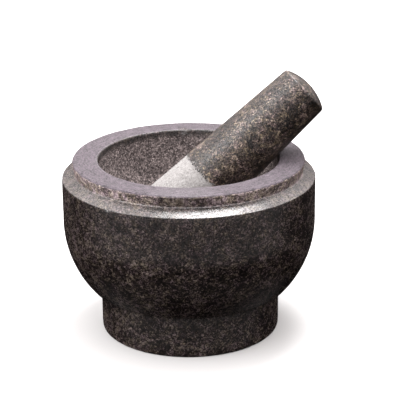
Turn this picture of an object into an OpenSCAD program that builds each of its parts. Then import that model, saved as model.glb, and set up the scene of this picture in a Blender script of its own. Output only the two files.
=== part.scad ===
// Granite mortar on a round pedestal foot, with its tapered pestle leaning on the rim.
// Origin: centre of the foot's underside, +Z up. The pestle leans towards +X.

/* [Mortar body] */
// Largest diameter of the bowl
mortar_d = 185; // [170:1:210]
// Height from the table to the top of the rim
mortar_h = 130; // [124:1:140]
// Diameter of the pedestal foot
foot_d = 132; // [116:1:134]
// Height of the foot, up to the underside of the bowl
foot_h = 33; // [28:0.5:36]
// Radius of the rounded edge that stands on the table
foot_edge_r = 2; // [1:0.5:4]
// Height above the table where the curved bottom becomes the upright wall
shoulder_h = 84; // [80:1:88]
// Radius of the big curve from the underside up to the wall
belly_r = 74.5; // [72:0.5:78]
// Radius of the tight curve where the bowl turns in under itself
turn_under_r = 7; // [5:0.5:8]
// Radius of the hollow corner between the underside and the foot
crease_r = 2.5; // [1:0.5:2.5]

/* [Rim] */
// Height of the sloping ledge's outer edge below the top of the rim
ledge_drop = 13.2; // [11:0.2:15]
// Radius of the ledge's outer edge
ledge_edge_r = 0.8; // [0.4:0.2:1.6]
// How far the middle of the ledge's slope is hollowed
ledge_hollow = 0.25; // [0:0.05:0.4]
// Radius of the corner between the ledge and the band
ledge_corner_r = 1; // [0.4:0.2:1.6]
// Outer diameter of the rim at its top
rim_d = 169.6; // [165:0.2:169.6]
// Height of the upright band between the rim's top and the ledge
band_h = 8.6; // [7:0.2:9.6]
// How far the foot of the band is set in from the rim's top edge
band_taper = 1.6; // [0:0.2:2.4]
// Radius of the rim's outer top edge
rim_edge_r = 1.8; // [1:0.2:2.6]
// Radius of the rim's inner top edge
mouth_edge_r = 1.5; // [0.8:0.1:2.4]

/* [Bowl] */
// Diameter of the mouth, and of the round-bottomed hollow
mouth_d = 131; // [126:1:134]
// Depth of the hollow below the top of the rim
bowl_depth = 78; // [74:1:84]

/* [Pestle] */
// Length of the pestle from end to end
pestle_l = 171; // [160:1:185]
// Diameter of the round grinding end
tip_d = 51.8; // [48:0.2:52]
// Diameter at the butt, the end that the palm holds
butt_d = 39.6; // [36:0.2:42]
// Radius of the edge round the butt
butt_edge_r = 2; // [1:0.5:3]
// Radius of the domed face of the butt
butt_dome_r = 40; // [34:1:50]
// Angle of the pestle above level
lean = 41.6; // [39:0.1:43]
// Direction in which the pestle leans, turned from +X towards +Y
lean_turn = 10; // [6:0.5:14]
// Place on the rim where the pestle rests, turned from +X towards +Y
rest_turn = 5.8; // [4:0.1:7]

/* [Hidden] */
$fn = 180;
stone_dark = "#3a3432";
stone_shaft = "#4a4038";
gap = 0.3;                   // air between the pestle and the mortar where they rest
curve_step = 4;              // degrees between the points of a curve
bow_steps = 8;               // sides of the ledge's slope
settle_rounds = 6;           // repeats that settle the pestle's place on rim and bowl

mortar_r = mortar_d / 2;
foot_r = foot_d / 2;
rim_r = rim_d / 2;
mouth_r = mouth_d / 2;
ledge_z = mortar_h - ledge_drop;
band_r = rim_r - band_taper;
band_z = mortar_h - band_h;
bowl_z = mortar_h - bowl_depth + mouth_r;     // height of the hollow's centre

// Ledge: its outer corner, its corner with the band, and the point that bends the slope between
ledge_out = [mortar_r, ledge_z];
ledge_in = [band_r, band_z];
ledge_run = ledge_in - ledge_out;
ledge_bend = (ledge_out + ledge_in) / 2
    + 2 * ledge_hollow * [-ledge_run.y, ledge_run.x] / norm(ledge_run);
band_top = [rim_r, mortar_h - rim_edge_r];

// Centre of the big belly curve, and of the turn-under that it runs into
belly_x = mortar_r - belly_r;
turn_z = foot_h + turn_under_r;
turn_x = belly_x + sqrt(pow(belly_r - turn_under_r, 2) - pow(shoulder_h - turn_z, 2));
belly_end = atan2(turn_z - shoulder_h, turn_x - belly_x);

// Pestle: a ball end at its own origin, a straight taper that touches it, and the butt
tip_r = tip_d / 2;
butt_r = butt_d / 2;
dome_in = sqrt(pow(butt_dome_r - butt_edge_r, 2) - pow(butt_r - butt_edge_r, 2));
butt_z = pestle_l - tip_r - butt_dome_r + dome_in;
butt_far = norm([butt_r, butt_z]);
taper = atan2(butt_z, butt_r) - acos(tip_r / butt_far);
dome_z = butt_z - dome_in;

// Where the pestle rests: its side on the rim's inner edge, its end on the bowl
axis = [cos(lean) * cos(lean_turn), cos(lean) * sin(lean_turn), sin(lean)];
rim_along = [-sin(rest_turn), cos(rest_turn), 0];
rest_up = cross(axis, rim_along) / norm(cross(axis, rim_along));
edge_centre_r = mouth_r + mouth_edge_r;
edge_centre = [edge_centre_r * cos(rest_turn), edge_centre_r * sin(rest_turn), mortar_h - mouth_edge_r];
bowl_centre = [0, 0, bowl_z];
bowl_reach = mouth_r - tip_r - gap;

function side_r(s) = (tip_r - s * sin(taper)) / cos(taper);
function rim_point(s) = edge_centre + rest_up * (side_r(s) + (mouth_edge_r + gap) / cos(taper));
function down_to_bowl(p) =
    let (v = p - bowl_centre, along = v * axis)
    along + sqrt(along * along - v * v + bowl_reach * bowl_reach);
function settle(s, rounds) = rounds == 0 ? s : settle(down_to_bowl(rim_point(s)), rounds - 1);

tip_to_rim = settle(pestle_l / 2, settle_rounds);
tip_at = rim_point(tip_to_rim) - axis * tip_to_rim;

// Points of a circular arc from angle a to angle b, both ends included
function arc(x, z, r, a, b) =
    let (steps = max(2, ceil(abs(b - a) / curve_step)))
    [for (i = [0 : steps]) let (t = a + (b - a) * i / steps) [x + r * cos(t), z + r * sin(t)]];

// Points of a corner of radius r where the sides towards two other points meet
function corner(before, at, after, r) =
    let (u = (before - at) / norm(before - at), v = (after - at) / norm(after - at),
         half = acos(u * v) / 2,
         centre = at + (u + v) / norm(u + v) * r / sin(half),
         start = at + u * r / tan(half) - centre, end = at + v * r / tan(half) - centre,
         a = atan2(start.y, start.x), b = atan2(end.y, end.x),
         turn = (b - a + 540) % 360 - 180)
    arc(centre.x, centre.y, r, a, a + turn);

// Points between p and q of a curve that leaves and reaches them heading for bend
function bow(p, bend, q) =
    [for (i = [1 : bow_steps - 1]) let (t = i / bow_steps)
        (1 - t) * (1 - t) * p + 2 * t * (1 - t) * bend + t * t * q];

function foot_outline() = concat(
    [[0, 0]],
    arc(foot_r - foot_edge_r, foot_edge_r, foot_edge_r, -90, 0),
    arc(foot_r + crease_r, foot_h - crease_r, crease_r, 180, 90));

function body_outline() = concat(
    arc(turn_x, turn_z, turn_under_r, -90, belly_end),
    arc(belly_x, shoulder_h, belly_r, belly_end, 0));

function ledge_outline() =
    let (edge = corner([mortar_r, shoulder_h], ledge_out, ledge_bend, ledge_edge_r),
         inner = corner(ledge_bend, ledge_in, band_top, ledge_corner_r))
    concat(edge, bow(edge[len(edge) - 1], ledge_bend, inner[0]), inner);

function rim_outline() = concat(
    arc(rim_r - rim_edge_r, mortar_h - rim_edge_r, rim_edge_r, 0, 90),
    arc(mouth_r + mouth_edge_r, mortar_h - mouth_edge_r, mouth_edge_r, 90, 180));

function bowl_outline() = arc(0, bowl_z, mouth_r, 0, -90);

module mortar() {
    color(stone_dark)
        rotate_extrude()
            polygon(concat(foot_outline(), body_outline(), ledge_outline(), rim_outline(),
                           bowl_outline()));
}

module pestle() {
    edge_turn = atan2(dome_in, butt_r - butt_edge_r);
    color(stone_shaft)
        translate(tip_at)
            rotate([0, 90 - lean, lean_turn])
                rotate_extrude()
                    polygon(concat(
                        arc(0, 0, tip_r, -90, taper),
                        arc(butt_r - butt_edge_r, butt_z, butt_edge_r, taper, edge_turn),
                        arc(0, dome_z, butt_dome_r, edge_turn, 90)));
}

mortar();
pestle();
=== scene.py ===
"""Granite mortar and pestle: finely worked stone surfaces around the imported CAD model.

Both CAD nodes are turned solids. Each one is rebuilt here as a denser mesh turned from the same
outline, with chipped edges, a pitted grinding surface and a slightly uneven polish, and gets a
procedural granite. Every change of shape goes into the stone, never out of it.
"""

import math

import bpy
import numpy as np
from mathutils import Matrix, Vector, noise


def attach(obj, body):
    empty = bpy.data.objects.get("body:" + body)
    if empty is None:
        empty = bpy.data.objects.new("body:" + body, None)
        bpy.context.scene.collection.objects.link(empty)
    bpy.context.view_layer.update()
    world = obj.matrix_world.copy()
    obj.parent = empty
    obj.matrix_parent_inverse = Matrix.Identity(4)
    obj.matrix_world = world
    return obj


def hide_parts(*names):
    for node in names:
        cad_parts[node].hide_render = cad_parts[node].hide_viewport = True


MM = 0.001

# Turned meshes
RING_TOLERANCE = 0.01 * MM  # CAD radii and heights are rounded to steps of this
RING_STEPS = 2  # CAD points at most this many such steps apart are on one ring
SHORTEST_SIDE = 0.22 * MM  # outline points closer together than this are left out
UP = (0.0, 0.0, 1.0)
NEARLY_UPRIGHT = 0.999  # an axis with a larger Z than this counts as upright
MORTAR_SEGMENTS = 400
PESTLE_SEGMENTS = 200
UNDERSIDE_STEP = 8 * MM
BODY_STEP = 2.0 * MM
RIM_STEP = 0.8 * MM
BOWL_STEP = 1.1 * MM
SHAFT_STEP = 1.3 * MM
TIP_STEP = 0.9 * MM
INSIDE_RIM = 6 * MM  # the rim's short steps reach this far down inside the mouth
OUTSIDE_RIM = 16 * MM  # and this far down outside it
MOUTH_MARGIN = 2 * MM  # what is less than this outside the mouth still counts as inside it
PAST_GROUND = 6 * MM  # the tip's short steps run this far past its rough end
EDGE_TURN = math.radians(50)  # an outline that turns this much within EDGE_SPAN has an edge there
EDGE_SPAN = 4 * MM

# Finish zones
LIP_DEPTH = 6.0 * MM  # dark, half-dull band inside the mouth, above the ground bowl
TIP_GROUND_LENGTH = 71 * MM  # how far the rough end of the pestle reaches up from its tip
HONED_SPREAD = 0.9 * MM  # half the width of the honed rim's soft border
HONED_RAGGED = 0.5 * MM  # how far that border wanders
HONED_OVER_MOUTH = 0.6 * MM  # how far the honed rim runs over the mouth's rounded edge
HONED_OVER_EDGE = 2.0 * MM  # how far it runs over the outer rounded edge
LEDGE_SATIN = 0.10  # how much of the band's satin finish the ledge has

# Painted shade on the band round the mortar's front
FRONT_SHADE = 0.66  # share of the satin finish that is missing round the front, which darkens the band there as painted shade
FRONT_SHADE_TURN = math.radians(-92)  # the middle of that stretch, from +X towards +Y
FRONT_SHADE_HALF = math.radians(14)  # where it has half faded, on either side of its middle
FRONT_SHADE_FADE = (0.5, 1.5)  # where it begins and ends to fade, as shares of that angle

# Soft borders: the distance along the outline over which a finish comes in
LEDGE_FADE = 2 * MM
LIP_FADE = 1 * MM
BAND_FADE = (-2 * MM, 1 * MM)
FLOOR_FADE = (0.2 * MM, 2 * MM)  # height above the floor where carving begins and is full
BOWL_FADE = (-0.4 * MM, 0.8 * MM)
TIP_FADE = (-0.6 * MM, 0.6 * MM)

# Wandering borders: reach, size, octaves, and a shift that picks the pattern
HONED_WANDER = (HONED_RAGGED, 5 * MM, 3, 12.0)
BOWL_WANDER = (0.8 * MM, 7 * MM, 3, 3.1)
TIP_WANDER = (1.6 * MM, 6 * MM, 3, 7.0)

# Carving. Waves, grit and wear: depth, size, octaves, shift. Pits: depth, spacing, shift.
# Nicks: depth, size, octaves, shift, and the noise at which they begin.
MORTAR_WAVES = (0.10 * MM, 22 * MM, 2, 0.0)
MORTAR_WEAR = (0.16 * MM, 14 * MM, 3, 17.0)
MORTAR_NICKS = (0.5 * MM, 4.5 * MM, 2, 21.0, 0.65)
MORTAR_EDGE_REACH = 2.6 * MM
BOWL_WAVES = (0.22 * MM, 8 * MM, 2, 5.0)
BOWL_GRIT = (0.42 * MM, 2.6 * MM, 3, 9.0)
BOWL_PITS = (0.30 * MM, 3.4 * MM, 2.0)
PESTLE_WAVES = (0.10 * MM, 20 * MM, 2, 1.0)
PESTLE_WEAR = (0.14 * MM, 12 * MM, 3, 15.0)
PESTLE_NICKS = (0.8 * MM, 4 * MM, 2, 22.0, 0.60)
PESTLE_EDGE_REACH = 2.2 * MM
TIP_WAVES = (0.20 * MM, 7 * MM, 2, 6.0)
TIP_GRIT = (0.30 * MM, 2.2 * MM, 3, 10.0)
TIP_PITS = (0.22 * MM, 3.0 * MM, 8.0)
GRIT_RAISE = 0.25  # added to the grit's noise, so that more of the surface is carved
NICK_FULL = 0.95  # the noise at which a nick is at its deepest
PIT_FADE = (0.15, 0.55)  # where a pit begins to rise and where it ends, in spacings

# The one larger chip, on the back of the mouth's edge
CHIP_TURN = math.radians(93)  # from +X towards +Y
CHIP_BELOW_TOP = 1.0 * MM
CHIP_RADIUS = 4.2 * MM
CHIP_DEPTH = 1.1 * MM
CHIP_FADE = (1.0, 0.35)  # where it ends and where it is at its deepest, in radii
CHIP_WANDER = (0.35, 2 * MM, 2, 4.0)  # reach in radii, size, octaves, shift

# Directions in which a shift moves the noise and the pits
NOISE_WAY = (1.0, 2.7, -1.3)
PIT_WAY = (1.0, -1.0, 0.5)
FRACTAL_SMOOTHNESS = 1.0
FRACTAL_LACUNARITY = 2.0

# Camera
CAMERA_PLACE = Vector((0.0, -1.100, 0.4982))
CAMERA_LENS_MM = 143.5
SENSOR_MM = 36.0
CAMERA_PAN = 0.0073
CAMERA_TILT = 0.3503
CAMERA_ROLL = 0.0097
CLIP_START = 0.01
CLIP_END = 100.0


# ---------------------------------------------------------------- CAD outline


def cad_mesh(node):
    """The points and triangles of a CAD node, as arrays."""
    mesh = node.data
    mesh.calc_loop_triangles()
    points = np.empty(3 * len(mesh.vertices))
    mesh.vertices.foreach_get("co", points)
    triangles = np.empty(3 * len(mesh.loop_triangles), dtype=int)
    mesh.loop_triangles.foreach_get("vertices", triangles)
    return points.reshape(-1, 3), triangles.reshape(-1, 3)


def turning_axis(points, triangles):
    """A point on the axis of a long turned solid, and the axis, pointing up."""
    corners = points[triangles]
    sides = corners[:, 1:] - corners[:, :1]
    areas = np.linalg.norm(np.cross(sides[:, 0], sides[:, 1]), axis=1) / 2
    centre = (areas[:, None] * corners.mean(axis=1)).sum(axis=0) / areas.sum()
    local = corners - centre
    total = local.sum(axis=1)
    spread = np.einsum("t,tki,tkj->ij", areas, local, local)
    spread += np.einsum("t,ti,tj->ij", areas, total, total)
    axis = np.linalg.eigh(spread)[1][:, 2]
    return centre, axis if axis[2] > 0 else -axis


def turned_outline(points, triangles, origin, axis):
    """The (radius, height) corners of a turned solid, in order along its outline.

    Points at one radius and height are one ring, and triangles link each ring to the next."""
    height = (points - origin) @ axis
    radius = np.linalg.norm(points - origin - np.outer(height, axis), axis=1)
    grid = np.round(np.column_stack((radius, height)) / RING_TOLERANCE)
    cells, ring = np.unique(grid, axis=0, return_inverse=True)
    near = np.abs(cells[:, None] - cells[None]).max(axis=2) <= RING_STEPS
    ring = near.argmax(axis=1)[ring.ravel()]
    edges = np.concatenate([triangles[:, [0, 1]], triangles[:, [1, 2]], triangles[:, [2, 0]]])
    links = {}
    for a, b in np.unique(ring[edges], axis=0):
        if a != b:
            links.setdefault(a, set()).add(b)
            links.setdefault(b, set()).add(a)
    ends = [k for k in links if len(links[k]) == 1]
    walk = [min(ends, key=lambda k: cells[k][1])]
    while True:
        ahead = links[walk[-1]] - set(walk)
        if not ahead:
            break
        walk.append(ahead.pop())
    outline = cells[walk] * RING_TOLERANCE
    outline[outline[:, 0] < RING_STEPS * RING_TOLERANCE, 0] = 0
    return outline


def subdivided(outline, step_of):
    """The outline with extra points, so that no side is longer than step_of(middle of the side)."""
    out = [outline[0]]
    for a, b in zip(outline[:-1], outline[1:]):
        pieces = max(1, math.ceil(np.linalg.norm(b - a) / step_of((a + b) / 2)))
        out += [a + (b - a) * (i + 1) / pieces for i in range(pieces)]
    return np.array(out)


def thinned(outline, shortest):
    """The outline without points closer than shortest to the one before; its ends stay."""
    out = [outline[0]]
    for point in outline[1:-1]:
        if np.linalg.norm(point - out[-1]) >= shortest:
            out.append(point)
    if np.linalg.norm(outline[-1] - out[-1]) < shortest:
        out.pop()
    out.append(outline[-1])
    return np.array(out)


def arc_length(outline):
    """Distance along the outline at each of its points."""
    return np.concatenate([[0], np.cumsum(np.linalg.norm(np.diff(outline, axis=0), axis=1))])


def outward(outline):
    """Unit normals of the outline, out of the stone, in (radius, height)."""
    sides = np.diff(outline, axis=0)
    sides /= np.linalg.norm(sides, axis=1)[:, None]
    normals = np.column_stack((sides[:, 1], -sides[:, 0]))
    smooth = np.vstack([normals[:1], normals[:-1] + normals[1:], normals[-1:]])
    return smooth / np.linalg.norm(smooth, axis=1)[:, None]


def edge_weight(outline, reach):
    """1 on the outline's convex edges, falling to 0 at the distance reach from them."""
    arc = arc_length(outline)
    sides = np.diff(outline, axis=0)
    heading = np.unwrap(np.arctan2(sides[:, 1], sides[:, 0]))
    middle = (arc[1:] + arc[:-1]) / 2
    span = EDGE_SPAN / 2
    turn = np.interp(arc + span, middle, heading) - np.interp(arc - span, middle, heading)
    edges = arc[turn > EDGE_TURN]
    if not len(edges):
        return np.zeros(len(arc))
    gap = np.abs(arc[:, None] - edges[None]).min(axis=1)
    return np.clip(1 - gap / reach, 0, 1)


# ---------------------------------------------------------------- turned meshes


class Turned:
    """A solid turned from an outline around an axis, to be carved and made a mesh."""

    def __init__(self, outline, origin, axis, segments):
        side = Vector(axis).orthogonal().normalized()
        if abs(axis[2]) > NEARLY_UPRIGHT:
            side = Vector((1, 0, 0))
        self.side = np.array(side)
        self.across = np.cross(axis, self.side)
        self.origin = np.array(origin, float)
        self.axis = np.array(axis, float)
        self.segments = segments
        self.outline = outline
        self.arc = arc_length(outline)
        self.normal = outward(outline)
        angle = np.arange(segments) * 2 * math.pi / segments
        rows = []
        columns = []
        self.starts = []
        for row, (radius, _) in enumerate(outline):
            count = segments if radius > 0 else 1
            self.starts.append(len(rows))
            rows += [row] * count
            columns += range(count)
        self.rows = np.array(rows)
        self.turn = angle[np.array(columns)]
        self.points = self.at(outline[self.rows, 0], outline[self.rows, 1])
        self.depth = np.zeros(len(self.points))

    def at(self, radius, height):
        """Points of the turned solid at each vertex's own angle."""
        spoke = np.outer(np.cos(self.turn), self.side) + np.outer(np.sin(self.turn), self.across)
        return self.origin + spoke * radius[:, None] + np.outer(height, self.axis)

    def per_point(self, along_outline):
        """A value for each outline point, as one for each vertex."""
        return np.asarray(along_outline)[self.rows]

    def carve(self, depth):
        """Sinks the surface into the stone by depth, or not at all where depth is negative."""
        self.depth += np.maximum(depth, 0)

    def faces(self):
        """Rings of quads, and of triangles where the outline ends on the axis."""
        out = []
        n = self.segments
        for row in range(len(self.outline) - 1):
            a = self.starts[row]
            b = self.starts[row + 1]
            low_pole = self.outline[row, 0] == 0
            high_pole = self.outline[row + 1, 0] == 0
            for i in range(n):
                j = (i + 1) % n
                if low_pole:
                    out.append((a, b + j, b + i))
                elif high_pole:
                    out.append((a + i, a + j, b))
                else:
                    out.append((a + i, a + j, b + j, b + i))
        return out

    def make(self, name, attributes):
        """The mesh object, with one float attribute for each name and array given."""
        sunk = self.normal[self.rows] * self.depth[:, None]
        radius = self.outline[self.rows, 0] - sunk[:, 0]
        height = self.outline[self.rows, 1] - sunk[:, 1]
        on_axis = self.outline[self.rows, 0] == 0
        radius[on_axis] = 0
        points = self.at(radius, height)
        mesh = bpy.data.meshes.new(name)
        mesh.from_pydata(points.tolist(), [], self.faces())
        for key, values in attributes.items():
            layer = mesh.attributes.new(key, "FLOAT", "POINT")
            layer.data.foreach_set("value", np.asarray(values, dtype=np.float32))
        mesh.polygons.foreach_set("use_smooth", [True] * len(mesh.polygons))
        mesh.update()
        piece = bpy.data.objects.new(name, mesh)
        bpy.context.scene.collection.objects.link(piece)
        return piece


def smoothstep(low, high, x):
    """0 at low and 1 at high, with a smooth run between them. low may be the larger."""
    t = np.clip((np.asarray(x, float) - low) / (high - low), 0, 1)
    return t * t * (3 - 2 * t)


def turbulence(points, size, octaves, shift):
    """Fractal noise around 0, roughly from -1 to 1, with features of the given size in metres."""
    offset = Vector([way * shift for way in NOISE_WAY])
    places = [Vector(p) / size + offset for p in points]
    return np.array(
        [noise.fractal(q, FRACTAL_SMOOTHNESS, FRACTAL_LACUNARITY, octaves) for q in places]
    )


def wander(points, reach, size, octaves, shift):
    """How far a border between two finishes strays at each point."""
    return reach * turbulence(points, size, octaves, shift)


def waves(points, depth, size, octaves, shift):
    """A gentle unevenness that is about depth deep on average."""
    return depth * (1 + turbulence(points, size, octaves, shift))


def grit(points, depth, size, octaves, shift):
    """Rough hollows, with untouched stone between them."""
    return depth * np.maximum(0, GRIT_RAISE + turbulence(points, size, octaves, shift))


def nicks(points, depth, size, octaves, shift, start):
    """A few chips of the given depth, where the noise rises above start."""
    return depth * smoothstep(start, NICK_FULL, turbulence(points, size, octaves, shift))


def pits(points, depth, spacing, shift):
    """Scattered round pits of the given depth and spacing."""
    offset = Vector([way * shift for way in PIT_WAY])
    near = [noise.voronoi(Vector(p) / spacing + offset)[0][0] for p in points]
    return depth * (1 - smoothstep(*PIT_FADE, near))


# ---------------------------------------------------------------- the two stones


def make_mortar(node):
    """The mortar's stone, with its finish zones as attributes; the satin one also carries painted
    shade round the front.
    """
    points, triangles = cad_mesh(node)
    rough = turned_outline(points, triangles, np.zeros(3), np.array(UP))
    top = rough[:, 1].max()
    mouth = rough[np.flatnonzero(rough[:, 1] > top - RING_TOLERANCE)[-1]]
    bowl_floor = rough[-1, 1]

    def step_of(middle):
        radius, height = middle
        if height < RING_TOLERANCE:
            return UNDERSIDE_STEP
        if radius < mouth[0] + MOUTH_MARGIN and height > bowl_floor - RING_TOLERANCE:
            return BOWL_STEP if height < top - INSIDE_RIM else RIM_STEP
        if height > top - OUTSIDE_RIM:
            return RIM_STEP
        return BODY_STEP

    closed = np.vstack([[0.0, 0.0], rough])
    outline = subdivided(thinned(closed, SHORTEST_SIDE), step_of)
    stone = Turned(outline, (0, 0, 0), UP, MORTAR_SEGMENTS)

    arc = stone.arc
    on_top = np.flatnonzero(outline[:, 1] > top - RING_TOLERANCE)
    past_mouth = arc - arc[on_top[-1]]
    before_rim = arc[on_top[0]] - arc
    off_rim = np.maximum(past_mouth - HONED_OVER_MOUTH, before_rim - HONED_OVER_EDGE)
    widest = np.flatnonzero(outline[:, 0] > outline[:, 0].max() - RING_TOLERANCE)[-1]
    band_foot = widest + outline[widest : on_top[0], 0].argmin()
    on_ledge = smoothstep(0, LEDGE_FADE, arc - arc[widest])
    on_band = smoothstep(*BAND_FADE, arc - arc[band_foot])
    lip = smoothstep(0, LIP_FADE, past_mouth)
    satin = np.where(past_mouth < 0, LEDGE_SATIN * on_ledge + (1 - LEDGE_SATIN) * on_band, 0)
    # painted shade: round the front the band loses the satin's paler colour
    satin_and_front_shade = stone.per_point(satin) * (1 - FRONT_SHADE * shaded_front(stone.turn))

    p = stone.points
    ground_at = stone.per_point(past_mouth - LIP_DEPTH) + wander(p, *BOWL_WANDER)
    in_bowl = smoothstep(*BOWL_FADE, ground_at)
    ragged_rim = stone.per_point(off_rim) + wander(p, *HONED_WANDER)
    honed = 1 - smoothstep(-HONED_SPREAD, HONED_SPREAD, ragged_rim)
    off_floor = stone.per_point(smoothstep(*FLOOR_FADE, outline[:, 1]))
    edges = stone.per_point(edge_weight(outline, MORTAR_EDGE_REACH)) * off_floor
    chip = mouth_chip(p, mouth)

    stone.carve(off_floor * waves(p, *MORTAR_WAVES))
    stone.carve(in_bowl * waves(p, *BOWL_WAVES))
    stone.carve(in_bowl * grit(p, *BOWL_GRIT))
    stone.carve(in_bowl * pits(p, *BOWL_PITS))
    stone.carve(edges * waves(p, *MORTAR_WEAR))
    stone.carve(edges**2 * nicks(p, *MORTAR_NICKS))
    stone.carve(chip * CHIP_DEPTH)

    return stone.make(
        "mortar_stone",
        {
            "honed": honed,
            # the satin finish, less round the front where that paints shade on the band
            "satin": satin_and_front_shade,
            "lip": stone.per_point(lip),
            "ground": ground_at / MM,
            "chip": chip,
        },
    )


def shaded_front(turn):
    """1 round the front of the mortar, where the band gets painted shade, 0 at its sides and back.
    """
    off_front = np.abs((turn - FRONT_SHADE_TURN + math.pi) % (2 * math.pi) - math.pi)
    return 1 - smoothstep(*FRONT_SHADE_FADE, off_front / FRONT_SHADE_HALF)


def mouth_chip(points, mouth):
    """1 in the one larger chip on the mouth's edge, 0 away from it."""
    x = mouth[0] * math.cos(CHIP_TURN)
    y = mouth[0] * math.sin(CHIP_TURN)
    gap = np.linalg.norm(points - np.array([x, y, mouth[1] - CHIP_BELOW_TOP]), axis=1)
    return smoothstep(*CHIP_FADE, gap / CHIP_RADIUS + wander(points, *CHIP_WANDER))


def make_pestle(node):
    """The pestle's stone, with the place of its rough end as an attribute."""
    points, triangles = cad_mesh(node)
    origin, axis = turning_axis(points, triangles)
    rough = turned_outline(points, triangles, origin, axis)
    tip = rough[0, 1]
    origin = origin + axis * tip
    rough[:, 1] -= tip

    def step_of(middle):
        return TIP_STEP if middle[1] < TIP_GROUND_LENGTH + PAST_GROUND else SHAFT_STEP

    outline = subdivided(thinned(rough, SHORTEST_SIDE), step_of)
    stone = Turned(outline, origin, axis, PESTLE_SEGMENTS)

    p = stone.points
    ground_at = TIP_GROUND_LENGTH - stone.per_point(outline[:, 1]) + wander(p, *TIP_WANDER)
    worn = smoothstep(*TIP_FADE, ground_at)
    edges = stone.per_point(edge_weight(outline, PESTLE_EDGE_REACH))

    stone.carve(waves(p, *PESTLE_WAVES))
    stone.carve(worn * waves(p, *TIP_WAVES))
    stone.carve(worn * grit(p, *TIP_GRIT))
    stone.carve(worn * pits(p, *TIP_PITS))
    stone.carve(edges * waves(p, *PESTLE_WEAR))
    stone.carve(edges**2 * nicks(p, *PESTLE_NICKS))

    return stone.make("pestle_stone", {"ground": ground_at / MM})


# ---------------------------------------------------------------- materials

# Sockets of a colour Mix node
MIX_FACTOR = 0
MIX_A = 6
MIX_B = 7
MIX_RESULT = 2


class Tree:
    """Short calls for building the nodes of a material or of the world."""

    def __init__(self, owner, output):
        owner.use_nodes = True
        self.owner = owner
        self.nodes = owner.node_tree.nodes
        self.links = owner.node_tree.links
        self.nodes.clear()
        self.output = self.nodes.new(output)

    def add(self, kind, settings=None, **inputs):
        """A new node. The inputs are sockets, named with _ for each space in their names."""
        node = self.nodes.new(kind)
        for key, value in (settings or {}).items():
            setattr(node, key, value)
        for key, value in inputs.items():
            self.set(node, key.replace("_", " "), value)
        return node

    def set(self, node, key, value):
        """Links value to the node's socket if it is a socket itself, or else stores it there."""
        socket = node.inputs[key]
        if isinstance(value, bpy.types.NodeSocket):
            self.links.new(value, socket)
        else:
            socket.default_value = value

    def math(self, operation, a, b=0.0):
        node = self.add("ShaderNodeMath", {"operation": operation})
        self.set(node, 0, a)
        self.set(node, 1, b)
        return node.outputs[0]

    def sum(self, *parts, start=None):
        """The sum of the (value, weight) parts, on top of start."""
        total = start
        for value, weight in parts:
            part = self.math("MULTIPLY", value, weight)
            total = part if total is None else self.math("ADD", total, part)
        return total

    def ramp(self, factor, stops):
        """A colour ramp through the (place, colour) stops."""
        node = self.add("ShaderNodeValToRGB", Fac=factor)
        elements = node.color_ramp.elements
        while len(elements) < len(stops):
            elements.new(1.0)
        for element, (place, colour) in zip(elements, stops):
            element.position = place
            element.color = (*colour, 1.0)
        return node.outputs["Color"]

    def mix(self, factor, a, b, blend="MIX"):
        node = self.add("ShaderNodeMix", {"data_type": "RGBA", "blend_type": blend})
        self.set(node, MIX_FACTOR, factor)
        self.set(node, MIX_A, a)
        self.set(node, MIX_B, b)
        return node.outputs[MIX_RESULT]

    def step(self, value, low, high, to_low=0.0, to_high=1.0):
        """value, remapped smoothly from low..high to to_low..to_high, and clamped."""
        node = self.add("ShaderNodeMapRange", {"interpolation_type": "SMOOTHSTEP"})
        for socket, number in enumerate((value, low, high, to_low, to_high)):
            self.set(node, socket, number)
        return node.outputs[0]

    def noise(self, vector, size, detail=2.0, roughness=0.5):
        node = self.add(
            "ShaderNodeTexNoise", Vector=vector, Scale=1 / size, Detail=detail, Roughness=roughness
        )
        return node.outputs["Fac"]

    def grains(self, vector, size):
        """A random value for each grain."""
        node = self.add("ShaderNodeTexVoronoi", Vector=vector, Scale=1 / size)
        return self.add("ShaderNodeSeparateColor", Color=node.outputs["Color"]).outputs[0]

    def attribute(self, name):
        return self.add("ShaderNodeAttribute", {"attribute_name": name}).outputs["Fac"]

    def bent(self, vector, size, amount):
        """The vector, shifted by noise, so that grains lose their straight sides."""
        bend = self.add("ShaderNodeTexNoise", Vector=vector, Scale=1 / size, Detail=2.0)
        centred = self.add("ShaderNodeVectorMath", {"operation": "SUBTRACT"})
        self.set(centred, 0, bend.outputs["Color"])
        self.set(centred, 1, (0.5, 0.5, 0.5))
        scaled = self.add("ShaderNodeVectorMath", {"operation": "SCALE"}, Scale=amount)
        self.set(scaled, 0, centred.outputs[0])
        moved = self.add("ShaderNodeVectorMath", {"operation": "ADD"})
        self.set(moved, 0, vector)
        self.set(moved, 1, scaled.outputs[0])
        return moved.outputs[0]


# Colour ramps, as (place, colour)
POLISHED_STOPS = (
    (0.08, (0.0004, 0.0003, 0.0003)),
    (0.36, (0.0020, 0.0013, 0.0013)),
    (0.46, (0.0066, 0.0045, 0.0043)),
    (0.55, (0.0168, 0.0121, 0.0117)),
    (0.67, (0.0400, 0.0308, 0.0297)),
    (0.84, (0.1100, 0.0890, 0.0850)),
)
SATIN_STOPS = (
    (0.33, (0.008, 0.0050, 0.0052)),
    (0.44, (0.060, 0.0440, 0.0445)),
    (0.55, (0.150, 0.1180, 0.1180)),
    (0.67, (0.300, 0.2500, 0.2480)),
    (0.84, (0.420, 0.3650, 0.3700)),
)
SHAFT_STOPS = (
    (0.33, (0.0010, 0.0006, 0.0005)),
    (0.45, (0.0070, 0.0047, 0.0042)),
    (0.55, (0.0260, 0.0192, 0.0172)),
    (0.67, (0.0700, 0.0530, 0.0450)),
    (0.82, (0.2000, 0.1600, 0.1380)),
)
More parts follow.
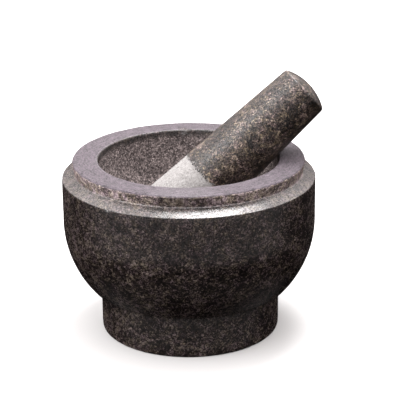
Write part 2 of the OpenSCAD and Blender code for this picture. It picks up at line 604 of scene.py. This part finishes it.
GROUND_STOPS = (
    (0.33, (0.001, 0.0007, 0.0007)),
    (0.44, (0.030, 0.0225, 0.0220)),
    (0.53, (0.118, 0.0945, 0.0925)),
    (0.63, (0.330, 0.2780, 0.2660)),
    (0.74, (0.520, 0.4480, 0.4300)),
)
HONED_STOPS = (
    (0.38, (0.006, 0.0040, 0.0055)),
    (0.62, (0.068, 0.0525, 0.0650)),
)
TIP_STOPS = (
    (0.30, (0.060, 0.055, 0.054)),
    (0.42, (0.142, 0.135, 0.132)),
    (0.66, (0.228, 0.220, 0.217)),
)
FLOOR_STOPS = (
    (0.30, (0.36, 0.36, 0.36)),
    (0.70, (0.38, 0.38, 0.38)),
)
TINT_STOPS = (
    (0.38, (1.00, 0.93, 1.00)),
    (0.50, (1.00, 0.98, 0.92)),
    (0.62, (0.97, 0.97, 0.78)),
)
# painted shade: the chip's hollow is coloured dark
CHIP_SHADE_COLOUR = (0.010, 0.007, 0.007, 1.0)

# The stone's minerals: sizes of grains with their weights, finest first
GRAIN_BEND = (1.2 * MM, 1.0 * MM)  # size and amount of the bend in the grains' sides
GRAIN_LAYERS = ((0.9 * MM, 0.30), (1.8 * MM, 0.20), (4.0 * MM, 0.12))
FINE_MINERALS = (0.9 * MM, 3.0, 0.6)  # noise: size, detail, roughness
FINE_WEIGHT = 0.75
CLOUDS = (16 * MM, 2.0, 0.5)
CLOUD_WEIGHT = 0.34
MINERAL_LEVEL = 0.355  # taken off, so that the sum lies round the middle of the ramps

# Noises of the finishes: size, detail, roughness
TINT_PATCHES = (5 * MM, 2.0, 0.6)
GLOSS_GRAINS = (1.0 * MM, 2.0, 0.6)
MORTAR_GRIT = (1.3 * MM, 4.0, 0.75)
PESTLE_GRIT = (1.2 * MM, 4.0, 0.75)
HONED_STREAKS = (1.6 * MM, 3.0, 0.6)
STREAK_STRETCH = 0.35  # scale of the streaks along X and Y; a smaller one makes them longer
FLOOR_NOISE = (0.6, 1.0, 0.4)

# Gloss
MORTAR_GLOSS = 0.5
PESTLE_GLOSS = 0.33
GLOSS_GRAIN_FADE = (0.38, 0.60)
DULL_GRAIN = 0.50  # gloss of the grains that polish worst
BRIGHT_GRAIN = 1.45  # gloss of the grains that polish best
GRAZING_FADE = (0.70, 0.97)  # 0 faces the viewer, 1 is edge on
BUMP_DISTANCE = 0.5 * MM

# Roughness from dark to pale minerals, and what each finish adds to it
MINERAL_FADE = (0.2, 0.8)
MORTAR_ROUGHNESS = (0.22, 0.30)
PESTLE_ROUGHNESS = (0.30, 0.40)
SATIN_ROUGHER = 0.30
LIP_ROUGHER = 0.30  # everywhere inside the mouth
BOWL_ROUGHER = 0.32  # in the ground bowl, on top of the lip's
HONED_ROUGHER = 0.28
TIP_ROUGHER = 0.45

# Relief of the polished stone, and what a rough zone adds to it
MORTAR_RELIEF = 0.05
BOWL_RELIEF = 0.95
PESTLE_RELIEF = 0.08
TIP_RELIEF = 0.92

# Ragged borders in the material, in mm like the attribute "ground"
BOWL_RAGGED = 3.0
BOWL_BORDER = (-2.0, 1.6)
TIP_RAGGED = 14.0
TIP_BORDER = (-1.0, 1.0)
HONED_BORDER = (0.35, 0.65)  # in the 0 to 1 of the attribute "honed"
HONED_BORDER_GRIT = 0.12  # share of BOWL_RAGGED that reaches the honed border


def granite(tree, place):
    """A value of about 0 to 1 for the mix of dark and pale minerals at each point."""
    bent = tree.bent(place, *GRAIN_BEND)
    layers = [(tree.grains(bent, size), weight) for size, weight in GRAIN_LAYERS]
    layers.append((tree.noise(place, *FINE_MINERALS), FINE_WEIGHT))
    layers.append((tree.noise(place, *CLOUDS), CLOUD_WEIGHT))
    return tree.math("SUBTRACT", tree.sum(*layers), MINERAL_LEVEL)


def tinted(tree, colour, place):
    """The colour, drifting between a purplish and an olive brown from one patch to the next."""
    tint = tree.ramp(tree.noise(place, *TINT_PATCHES), TINT_STOPS)
    return tree.mix(1.0, colour, tint, "MULTIPLY")


def finish_shader(tree, place, colour, roughness, height, gloss):
    """The stone's surface. Some grains take less polish than others, and the gloss fades where
    the surface is seen nearly edge on, as it does on slightly rough stone."""
    facing = tree.add("ShaderNodeLayerWeight", Blend=0.5).outputs["Facing"]
    grazing = tree.step(facing, *GRAZING_FADE, gloss, 0.0)
    grains = tree.noise(place, *GLOSS_GRAINS)
    polish = tree.step(grains, *GLOSS_GRAIN_FADE, DULL_GRAIN, BRIGHT_GRAIN)
    specular = tree.math("MULTIPLY", grazing, polish)
    bump = tree.add("ShaderNodeBump", Strength=1.0, Distance=BUMP_DISTANCE, Height=height)
    shader = tree.add(
        "ShaderNodeBsdfPrincipled",
        Base_Color=colour,
        Roughness=roughness,
        Specular_IOR_Level=specular,
        Normal=bump.outputs[0],
    )
    tree.set(tree.output, 0, shader.outputs[0])
    return tree.owner


def material_tree(name):
    """The empty node tree of a new material, and the place of each point on the object."""
    tree = Tree(bpy.data.materials.new(name), "ShaderNodeOutputMaterial")
    return tree, tree.add("ShaderNodeTexCoord").outputs["Object"]


def mortar_granite():
    """Polished, satin, honed and ground granite, by the mortar's finish zones, with painted shade
    round the front of the band and in the chip.
    """
    tree, place = material_tree("mortar_granite")
    mineral = granite(tree, place)
    polished = tree.ramp(mineral, POLISHED_STOPS)

    gritty = tree.noise(place, *MORTAR_GRIT)
    ground = tree.ramp(tree.sum((gritty, 0.75), (mineral, 0.25)), GROUND_STOPS)

    x, y, _ = tree.add("ShaderNodeSeparateXYZ", Vector=place).outputs
    radius = tree.math("SQRT", tree.sum((x, x), (y, y)))
    stretched = tree.add(
        "ShaderNodeCombineXYZ",
        X=tree.math("MULTIPLY", x, STREAK_STRETCH),
        Y=tree.math("MULTIPLY", y, STREAK_STRETCH),
        Z=radius,
    )
    streaks = tree.noise(stretched.outputs[0], *HONED_STREAKS)
    honed = tree.ramp(tree.sum((streaks, 0.45), (gritty, 0.40), (mineral, 0.15)), HONED_STOPS)

    ragged = tree.math("MULTIPLY", tree.math("SUBTRACT", gritty, 0.5), BOWL_RAGGED)
    ground_at = tree.math("ADD", tree.attribute("ground"), ragged)
    in_bowl = tree.step(ground_at, *BOWL_BORDER)
    chip = tree.attribute("chip")
    honed_at = tree.sum((ragged, HONED_BORDER_GRIT), start=tree.attribute("honed"))
    on_rim = tree.step(honed_at, *HONED_BORDER)
    on_rim = tree.math("MULTIPLY", on_rim, tree.math("SUBTRACT", 1.0, chip))

    # satin finish, taken away round the front as painted shade on the band
    satin = tree.attribute("satin")
    colour = tree.mix(satin, polished, tree.ramp(mineral, SATIN_STOPS))
    colour = tinted(tree, colour, place)
    colour = tree.mix(in_bowl, colour, ground)
    colour = tree.mix(on_rim, colour, honed)
    # painted shade in the chip's hollow
    colour = tree.mix(chip, colour, CHIP_SHADE_COLOUR)
    roughness = tree.sum(
        (satin, SATIN_ROUGHER),
        (tree.attribute("lip"), LIP_ROUGHER),
        (in_bowl, BOWL_ROUGHER),
        (on_rim, HONED_ROUGHER),
        start=tree.step(mineral, *MINERAL_FADE, *MORTAR_ROUGHNESS),
    )
    relief = tree.math("MULTIPLY", gritty, tree.sum((in_bowl, BOWL_RELIEF), start=MORTAR_RELIEF))
    return finish_shader(tree, place, colour, roughness, relief, MORTAR_GLOSS)


def pestle_granite():
    """Brown speckled granite, worn pale and rough at the grinding end."""
    tree, place = material_tree("pestle_granite")
    mineral = granite(tree, place)
    polished = tree.ramp(mineral, SHAFT_STOPS)
    gritty = tree.noise(place, *PESTLE_GRIT)
    ground = tree.ramp(gritty, TIP_STOPS)
    ragged = tree.math("MULTIPLY", tree.math("SUBTRACT", gritty, 0.5), TIP_RAGGED)
    worn = tree.step(tree.math("ADD", tree.attribute("ground"), ragged), *TIP_BORDER)
    colour = tree.mix(worn, tinted(tree, polished, place), ground)
    roughness = tree.sum(
        (worn, TIP_ROUGHER), start=tree.step(mineral, *MINERAL_FADE, *PESTLE_ROUGHNESS)
    )
    relief = tree.math("MULTIPLY", gritty, tree.sum((worn, TIP_RELIEF), start=PESTLE_RELIEF))
    return finish_shader(tree, place, colour, roughness, relief, PESTLE_GLOSS)


def floor_paper():
    """Matt pale paper."""
    tree, place = material_tree("floor_paper")
    colour = tree.ramp(tree.noise(place, *FLOOR_NOISE), FLOOR_STOPS)
    shader = tree.add(
        "ShaderNodeBsdfPrincipled", Base_Color=colour, Roughness=0.9, Specular_IOR_Level=0.1
    )
    tree.set(tree.output, 0, shader.outputs[0])
    return tree.owner


# ---------------------------------------------------------------- studio

FLOOR_HALF = 12.0
RIM_HEIGHT = 0.12

# Soft lights: name, place, target, width, depth, radiance
SOFTBOXES = (
    ("overhead", (0.165, 0.36, 1.38), (0, 0, RIM_HEIGHT), 0.56, 0.56, 28.0),
    ("left_wall", (-1.39, -0.56, 1.12), (0, 0, 1.12), 1.50, 2.00, 5.5),
    ("right_fill", (0.80, -0.70, 0.95), (0, 0, RIM_HEIGHT), 0.80, 0.50, 1.5),
)

# The room's brightness by height, from straight down (-1) to straight up (1)
SKY_PEAK = 5.0
RIGHT_SKY = 0.90  # brightness of the room's right side, as a share of its left
RIGHT_FULL = 0.8  # how far to the right it has dropped to that
BEHIND_FADE = (-0.3, 0.3)  # along Y, where the front of the room runs into its back
SKY_TINT = (1.0, 0.955, 0.95)
FRONT_SKY = (
    (-1.00, 0.00),
    (-0.80, 0.10),
    (-0.60, 0.00),
    (-0.44, 0.00),
    (-0.35, 0.60),
    (-0.20, 0.80),
    (0.00, 0.60),
    (0.20, 0.75),
    (0.34, 1.20),
    (0.50, 2.30),
    (0.64, 4.00),
    (0.80, 5.00),
)
BACK_SKY = (
    (-1.00, 0.00),
    (-0.80, 0.10),
    (-0.60, 0.00),
    (-0.30, 0.03),
    (-0.10, 0.20),
    (0.00, 0.45),
    (0.15, 0.90),
    (0.34, 1.40),
    (0.50, 2.50),
    (0.64, 4.00),
    (0.80, 5.00),
)


def make_floor():
    """A wide floor that is seen by the camera, and left out of reflections and bounced light."""
    near, far = -FLOOR_HALF, FLOOR_HALF
    corners = [(near, near, 0), (far, near, 0), (far, far, 0), (near, far, 0)]
    mesh = bpy.data.meshes.new("floor")
    mesh.from_pydata(corners, [], [(0, 1, 2, 3)])
    floor = bpy.data.objects.new("floor", mesh)
    bpy.context.scene.collection.objects.link(floor)
    floor.data.materials.append(floor_paper())
    floor.visible_glossy = False
    floor.visible_diffuse = False


def softbox(name, place, target, width, depth, radiance):
    """A rectangular soft light of the given brightness, facing target.

    width lies level, and depth is across it."""
    light = bpy.data.lights.new(name, "AREA")
    light.shape = "RECTANGLE"
    light.size = width
    light.size_y = depth
    light.energy = radiance * math.pi * width * depth
    lamp = bpy.data.objects.new(name, light)
    bpy.context.scene.collection.objects.link(lamp)
    lamp.location = place
    lamp.rotation_euler = (Vector(target) - Vector(place)).to_track_quat("-Z", "Y").to_euler()
    lamp.visible_camera = False


def sky_ramp(tree, height, stops):
    """The brightness of the room by height, as a share of SKY_PEAK."""
    colours = []
    for z, brightness in stops:
        colours.append(((z + 1) / 2, [brightness / SKY_PEAK * tint for tint in SKY_TINT]))
    return tree.ramp(height, colours)


def make_world():
    """The room: dark below the table's edge, dim behind the stone, brighter to the ceiling."""
    world = bpy.data.worlds.new("studio")
    bpy.context.scene.world = world
    tree = Tree(world, "ShaderNodeOutputWorld")
    way = tree.add("ShaderNodeTexCoord").outputs["Generated"]
    x, y, z = tree.add("ShaderNodeSeparateXYZ", Vector=way).outputs
    height = tree.add("ShaderNodeMapRange", Value=z, From_Min=-1.0, From_Max=1.0).outputs[0]
    front = sky_ramp(tree, height, FRONT_SKY)
    back = sky_ramp(tree, height, BACK_SKY)
    background = tree.add(
        "ShaderNodeBackground",
        Color=tree.mix(tree.step(y, *BEHIND_FADE), front, back),
        Strength=tree.step(x, 0.0, RIGHT_FULL, SKY_PEAK, SKY_PEAK * RIGHT_SKY),
    )
    tree.set(tree.output, 0, background.outputs[0])


def make_camera():
    """The camera of the photograph, as fitted to the object's outline."""
    camera = bpy.data.objects.new("camera", bpy.data.cameras.new("camera"))
    bpy.context.scene.collection.objects.link(camera)
    bpy.context.scene.camera = camera
    camera.data.lens = CAMERA_LENS_MM
    camera.data.sensor_width = SENSOR_MM
    camera.data.clip_start = CLIP_START
    camera.data.clip_end = CLIP_END
    forward = Vector(
        (
            math.sin(CAMERA_PAN) * math.cos(CAMERA_TILT),
            math.cos(CAMERA_PAN) * math.cos(CAMERA_TILT),
            -math.sin(CAMERA_TILT),
        )
    )
    level = Vector((math.cos(CAMERA_PAN), -math.sin(CAMERA_PAN), 0.0))
    upright = level.cross(forward)
    right = level * math.cos(CAMERA_ROLL) - upright * math.sin(CAMERA_ROLL)
    up = level * math.sin(CAMERA_ROLL) + upright * math.cos(CAMERA_ROLL)
    turn = Matrix((right, up, -forward)).transposed()
    camera.matrix_world = Matrix.Translation(CAMERA_PLACE) @ turn.to_4x4()


# ---------------------------------------------------------------- the scene

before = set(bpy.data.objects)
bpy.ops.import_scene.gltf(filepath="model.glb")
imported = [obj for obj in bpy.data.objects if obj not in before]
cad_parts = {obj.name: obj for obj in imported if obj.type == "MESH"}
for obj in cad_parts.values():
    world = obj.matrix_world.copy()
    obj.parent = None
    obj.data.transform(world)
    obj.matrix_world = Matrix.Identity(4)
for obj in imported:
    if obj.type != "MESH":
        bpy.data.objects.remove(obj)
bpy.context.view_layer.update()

mortar = make_mortar(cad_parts["mortar"])
mortar.data.materials.append(mortar_granite())
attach(mortar, "mortar")
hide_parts("mortar")

pestle = make_pestle(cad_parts["pestle"])
pestle.data.materials.append(pestle_granite())
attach(pestle, "pestle")
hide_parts("pestle")

make_floor()
make_world()
for values in SOFTBOXES:
    softbox(*values)
make_camera()
bpy.context.scene.view_settings.view_transform = "Standard"
